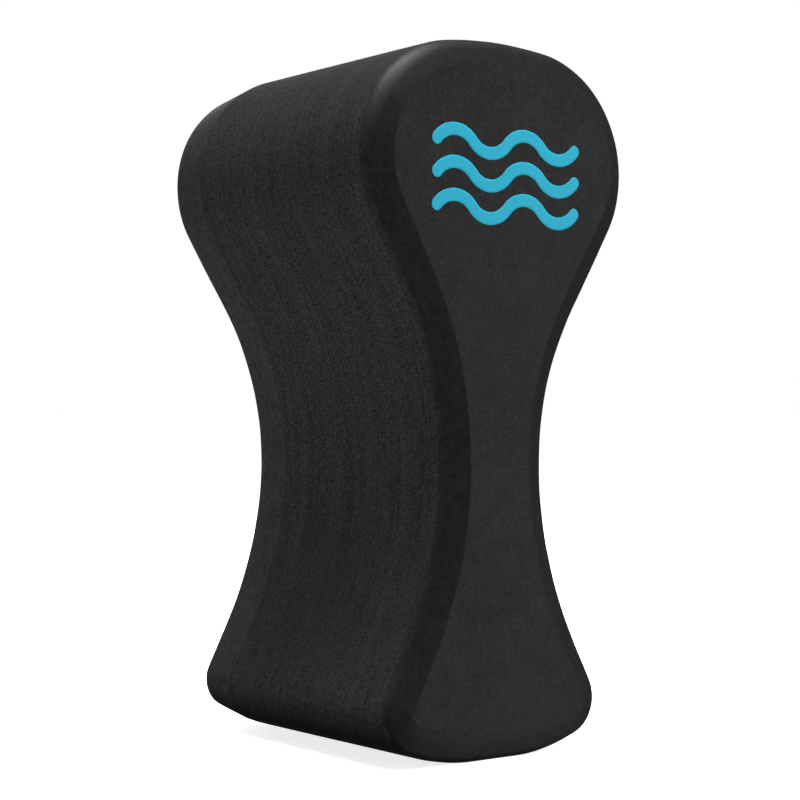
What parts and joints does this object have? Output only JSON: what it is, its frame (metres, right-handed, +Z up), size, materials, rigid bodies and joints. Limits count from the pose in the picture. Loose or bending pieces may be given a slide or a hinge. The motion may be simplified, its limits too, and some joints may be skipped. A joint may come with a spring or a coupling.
{
  "type": "pull buoy",
  "caption": "Foam pull buoy for swim training: an uneven hourglass block held between the thighs, with a plain printed wave mark.",
  "frame": {"origin": "centre of the foot, on the surface the buoy stands on", "axes": "+Z up through the crown, X across the width, the printed front face looks towards -Y"},
  "size_m": [0.109, 0.1234, 0.2348],
  "materials": {
    "foam": "matte",
    "glue": "satin",
    "ink": "satin"
  },
  "bodies": {
    "root": {"front_foam_slab": "foam", "middle_foam_slab": "foam", "rear_foam_slab": "foam", "front_glue_film": "glue", "rear_glue_film": "glue", "printed_waves": "ink"}
  },
  "joints": []
}
